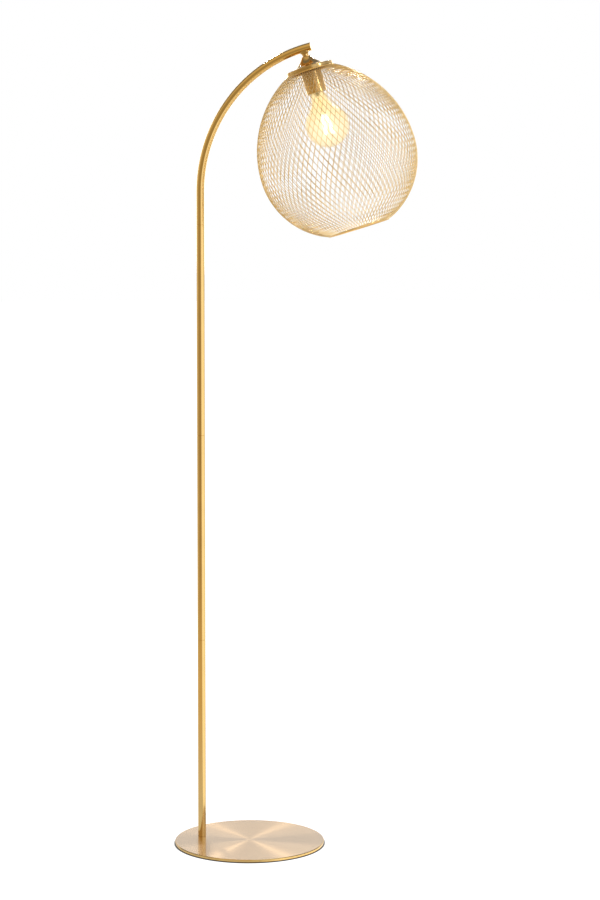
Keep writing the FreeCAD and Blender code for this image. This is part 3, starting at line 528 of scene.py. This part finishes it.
# bearings in degrees to the photographer's right of the camera, and the levels there
STUDIO_RING = (
    (-180, 0.9), (-125, 0.9), (-85, 0.62), (-45, 0.46), (-12, 0.42), (3, 0.44), (14, 0.9),
    (26, 1.3), (70, 1.35), (105, 1.15), (140, 0.92), (180, 0.9),
)
TOP_AHEAD = 0.74                       # the level overhead, on the photographer's side
TOP_STARTS = (0.16, 0.36)              # the sine of the height over which that level comes in
# the sine of the height over the horizon behind the lamp, and the level there
BEHIND = ((0.0, 0.9), (0.26, 0.9), (0.42, 0.25), (1.0, 0.25))
SIDE_BLEND = (-0.35, 0.35)             # from behind to ahead, as the cosine of the bearing

# distances from the base's centre, in metres, each as a start and an end
# painted shadow: the floor's painted dark under the base's rim fades out over these distances
RIM_PAINTED_SHADOW = (BASE_RADIUS, BASE_RADIUS + 0.003)
NEAR_FLOOR = (1.6, 3.2)
FLOOR_TINT = (0.3, 1.2)
FLOOR_RADIUS = 12.0

# name, bearing and elevation, distance, width and height, power, and the height it faces;
# the first two give the bright fans on the base's spun face
SOFT_BOXES = (
    ("right_soft_box", (156, 48), 3.2, (0.2, 0.2), 20, 0.4),
    ("left_back_soft_box", (-156, 48), 3.2, (0.2, 0.2), 20, 0.4),
    ("front_right_strip", (52, 39), 3.0, (0.24, 1.0), 6, 0.4),
    ("backdrop_panel", (180, 0), 2.3, (3.2, 1.0), 22, 1.40),
)


def make_ramp(tree, value, levels):
    """A smooth run of levels up to 2 along a value from 0 to 1."""
    ramp = tree.nodes.new("ShaderNodeValToRGB")
    ramp.color_ramp.interpolation = "EASE"
    stops = ramp.color_ramp.elements
    while len(stops) < len(levels):
        stops.new(0.5)
    for stop, (place, level) in zip(stops, levels):
        stop.position = place
        stop.color = (level / 2,) * 3 + (1.0,)
    tree.links.new(value, ramp.inputs[0])
    return sum_of(tree, "MULTIPLY", ramp.outputs[0], 2.0)


def make_studio_group():
    """How bright the studio is by bearing: from a direction or a place seen from the lamp. The
    photographer's side is dim, their right-hand side is bright, and the backdrop is white."""
    group, inside, out = new_group(
        "studio_levels", [("Spot", "NodeSocketVector", None)],
        [("Level", "NodeSocketFloat"), ("Ahead", "NodeSocketFloat"), ("Tint", "NodeSocketColor")])
    flat = vector_of(group, "MULTIPLY", 0, in_0=inside.outputs["Spot"], in_1=(1, 1, 0))
    flat = vector_of(group, "NORMALIZE", 0, in_0=flat)
    towards = (math.cos(PHOTOGRAPHER), math.sin(PHOTOGRAPHER), 0)
    rightward = (-math.sin(PHOTOGRAPHER), math.cos(PHOTOGRAPHER), 0)
    ahead = vector_of(group, "DOT_PRODUCT", "Value", in_0=flat, in_1=towards)
    right = vector_of(group, "DOT_PRODUCT", "Value", in_0=flat, in_1=rightward)
    turn = sum_of(group, "DIVIDE", sum_of(group, "ARCTAN2", right, ahead), 2 * math.pi)
    ring = [(0.5 + bearing / 360, level) for bearing, level in STUDIO_RING]
    level = make_ramp(group, sum_of(group, "ADD", turn, 0.5), ring)
    tint = blend_colours(group, run_of(group, level, TINT_ENDS), DIM_ROOM, WHITE)
    group.links.new(level, out.inputs["Level"])
    group.links.new(ahead, out.inputs["Ahead"])
    group.links.new(tint, out.inputs["Tint"])
    return group


def make_world(studio):
    """A white backdrop and a studio round it, darker overhead towards the back."""
    world = bpy.data.worlds.new("studio")
    world.use_nodes = True
    tree = world.node_tree
    back = tree.nodes["Background"]
    spot = node(tree, "ShaderNodeTexCoord").outputs["Generated"]
    height = node(tree, "ShaderNodeSeparateXYZ", in_Vector=spot).outputs[2]
    ring = node(tree, "ShaderNodeGroup", node_tree=studio, in_Spot=spot).outputs
    front = blend_values(tree, run_of(tree, height, TOP_STARTS), ring["Level"], TOP_AHEAD)
    back_wall = make_ramp(tree, height, BEHIND)
    lit = blend_values(tree, run_of(tree, ring["Ahead"], SIDE_BLEND), back_wall, front)
    rays = node(tree, "ShaderNodeLightPath").outputs
    plain = sum_of(tree, "MAXIMUM", rays["Is Diffuse Ray"], rays["Is Transmission Ray"])
    plain = sum_of(tree, "MAXIMUM", rays["Is Camera Ray"], plain)
    tree.links.new(blend_values(tree, plain, lit, 1.0), back.inputs["Strength"])
    tree.links.new(blend_colours(tree, plain, ring["Tint"], WHITE), back.inputs["Color"])
    bpy.context.scene.world = world


def soft_box(name, bearings, distance, size, power, middle):
    """A rectangular lamp that faces a height on the floor lamp's axis. Its bearing is from the
    photographer's side, to the right."""
    turn = PHOTOGRAPHER + math.radians(bearings[0])
    rise = math.radians(bearings[1])
    flat = math.cos(rise)
    away = Vector((math.cos(turn) * flat, math.sin(turn) * flat, math.sin(rise)))
    data = bpy.data.lights.new(name, "AREA")
    data.shape = "RECTANGLE"
    data.size, data.size_y = size
    data.energy = power
    lamp = bpy.data.objects.new(name, data)
    lamp.location = Vector((0, 0, middle)) + away * distance
    lamp.visible_camera = lamp.visible_transmission = False
    lamp.rotation_mode = "QUATERNION"
    lamp.rotation_quaternion = away.to_track_quat("Z", "Y")
    bpy.context.scene.collection.objects.link(lamp)


def floor_material(studio):
    """White cloth for the camera, and the studio's levels for what mirrors the floor; both painted
    dark right under the base's rim, as a painted shadow.
    """
    made = bpy.data.materials.new("studio_floor_white")
    made.use_nodes = True
    tree = made.node_tree
    tree.nodes.clear()
    rays = node(tree, "ShaderNodeLightPath").outputs
    spot = object_spot(tree)
    ring = node(tree, "ShaderNodeGroup", node_tree=studio, in_Spot=spot).outputs
    far = vector_of(tree, "LENGTH", "Value", in_0=spot)
    near = run_of(tree, far, NEAR_FLOOR, 0.72, 0.4)
    # painted shadow: the floor is painted dark right under the rim of the base, both for the camera
    # and for mirrors
    clear = run_of(tree, far, RIM_PAINTED_SHADOW)
    shine = sum_of(tree, "MULTIPLY", sum_of(tree, "MAXIMUM", ring["Level"], near), clear)
    tint = blend_colours(tree, run_of(tree, far, FLOOR_TINT), WHITE, ring["Tint"])
    mirrored = node(tree, "ShaderNodeEmission", in_Strength=shine, in_Color=tint)
    seen = sum_of(tree, "MAXIMUM", rays["Is Camera Ray"], rays["Is Transmission Ray"])
    seen = sum_of(tree, "MULTIPLY", seen, clear)
    cloth = node(tree, "ShaderNodeBsdfDiffuse", in_Color=sum_of(tree, "MULTIPLY", clear, 0.5))
    glow = node(tree, "ShaderNodeEmission", in_Color=(*WHITE, 1.0),
                in_Strength=sum_of(tree, "MULTIPLY", seen, 0.66))
    both = node(tree, "ShaderNodeAddShader", in_0=cloth.outputs[0], in_1=glow.outputs[0])
    mixed = node(tree, "ShaderNodeMixShader", in_0=rays["Is Glossy Ray"], in_1=both.outputs[0],
                 in_2=mirrored.outputs[0])
    node(tree, "ShaderNodeOutputMaterial", in_Surface=mixed.outputs[0])
    return made


def make_floor(studio):
    """A white floor that joins the white backdrop and keeps the lamp's soft shadow, with a painted
    shadow right under the base's rim.
    """
    bm = bmesh.new()
    bmesh.ops.create_circle(bm, cap_ends=True, segments=96, radius=FLOOR_RADIUS)
    mesh = bpy.data.meshes.new("studio_floor")
    bm.to_mesh(mesh)
    bm.free()
    mesh.materials.append(floor_material(studio))
    floor = bpy.data.objects.new("studio_floor", mesh)
    bpy.context.scene.collection.objects.link(floor)


def make_camera():
    """The photographer's place, found by fitting the lamp's outline in a frame of 600 by 900."""
    data = bpy.data.cameras.new("photographer")
    data.lens = 116.485
    data.shift_y = -0.185
    data.clip_start, data.clip_end = 0.1, 100
    camera = bpy.data.objects.new("photographer", data)
    camera.location = (1.486970, -5.170801, 1.481971)
    camera.rotation_euler = (math.radians(90 - 4.536), 0, math.radians(15.034))
    bpy.context.scene.collection.objects.link(camera)
    bpy.context.scene.camera = camera


def make_studio():
    studio = make_studio_group()
    make_world(studio)
    for box in SOFT_BOXES:
        soft_box(*box)
    make_floor(studio)
    make_camera()
    bpy.context.scene.view_settings.view_transform = "Standard"


make_studio()
